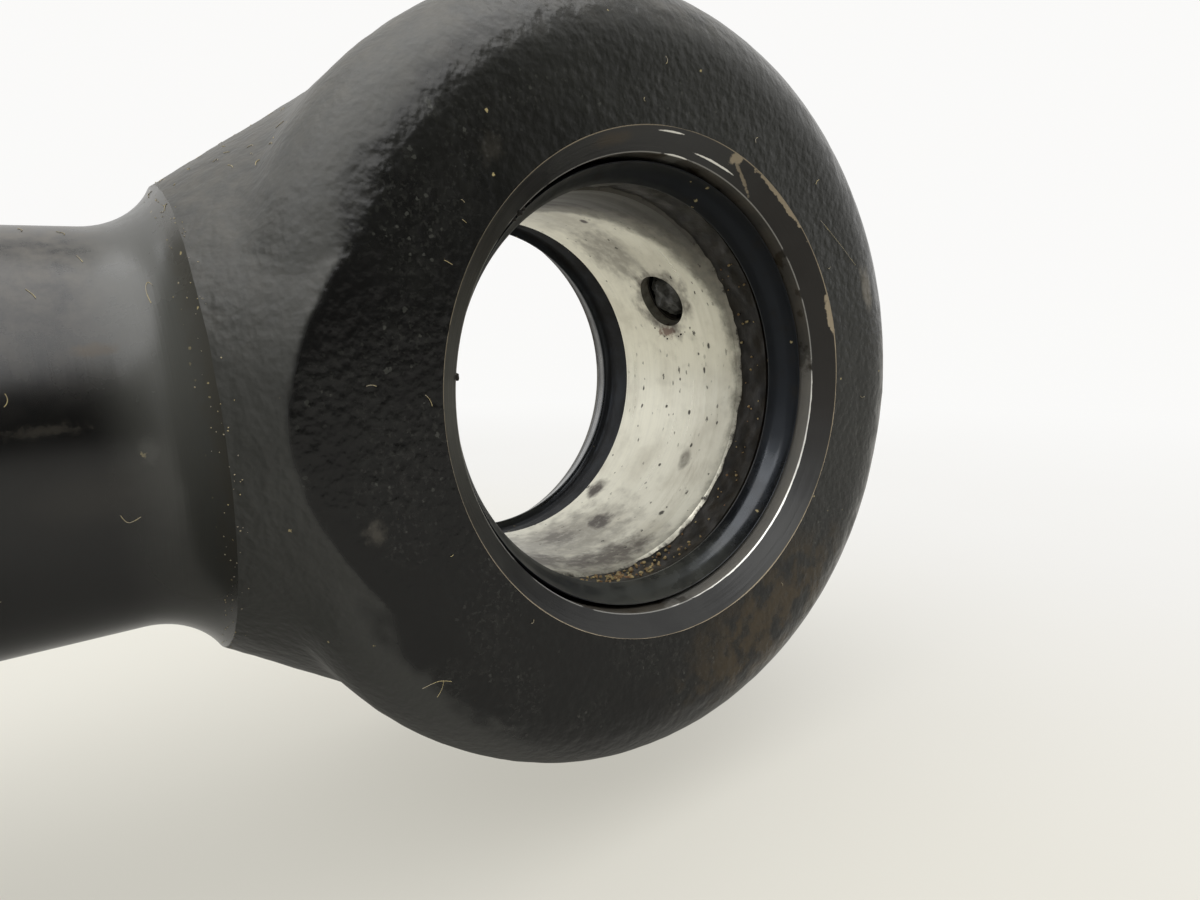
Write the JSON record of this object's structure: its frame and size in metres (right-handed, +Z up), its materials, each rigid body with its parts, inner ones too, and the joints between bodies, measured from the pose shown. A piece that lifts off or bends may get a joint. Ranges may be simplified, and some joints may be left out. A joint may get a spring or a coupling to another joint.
{
  "type": "hydraulic tilt cylinder",
  "caption": "Double-acting hydraulic cylinder with bushed pin eyes at both ends; its rod slides and turns in the barrel.",
  "frame": {"origin": "on the surface that the cylinder lies on, under the middle of its overall length at rest", "axes": "+X along the rod towards the rod eye, Y along both pin bores, +Z up with the ports on top"},
  "size_m": [0.7024, 0.084, 0.0941],
  "materials": {
    "forging_paint": "satin black paint over a rough forged skin",
    "tube_paint": "satin black paint on turned steel",
    "rod_chrome": "ground hard chrome",
    "bush_steel": "bright worn bore with grease stains",
    "machined_steel": "turned, lightly oiled",
    "zinc_steel": "zinc plated",
    "black_rubber": "glossy, greasy",
    "seal_polyurethane": "smooth moulded",
    "guide_plastic": "machined fabric-filled resin",
    "backup_plastic": "smooth"
  },
  "bodies": {
    "barrel": {"barrel_tube": "tube_paint", "base_eye": "forging_paint", "base_port_boss": "tube_paint", "head_port_boss": "tube_paint", "gland": "tube_paint", "gland_o_ring": "black_rubber", "gland_backup_ring": "backup_plastic", "gland_guide_ring": "guide_plastic", "rod_seal": "seal_polyurethane", "rod_buffer_seal": "seal_polyurethane", "rod_wiper": "seal_polyurethane", "base_bushing": "bush_steel", "base_pin_seal_left": "black_rubber", "base_pin_seal_right": "black_rubber", "base_grease_fitting": "zinc_steel"},
    "piston_rings": {"piston_seal": "seal_polyurethane", "piston_seal_expander": "black_rubber", "piston_wear_ring_front": "guide_plastic", "piston_wear_ring_rear": "guide_plastic"},
    "rod": {"piston_rod": "rod_chrome", "piston": "machined_steel", "piston_nut": "zinc_steel", "piston_o_ring": "black_rubber", "rod_eye": "forging_paint", "rod_eye_bushing": "bush_steel", "rod_eye_seal_left": "black_rubber", "rod_eye_seal_right": "black_rubber", "rod_eye_grease_fitting": "zinc_steel"}
  },
  "joints": [
    {"name": "rod_stroke", "type": "slide", "parent": "barrel", "child": "piston_rings", "axis": [1, 0, 0], "range_m": [0, 0.35]},
    {"name": "rod_turn", "type": "hinge", "parent": "piston_rings", "child": "rod", "pos_m": [0, 0, 0.042], "axis": [1, 0, 0], "continuous": true}
  ]
}
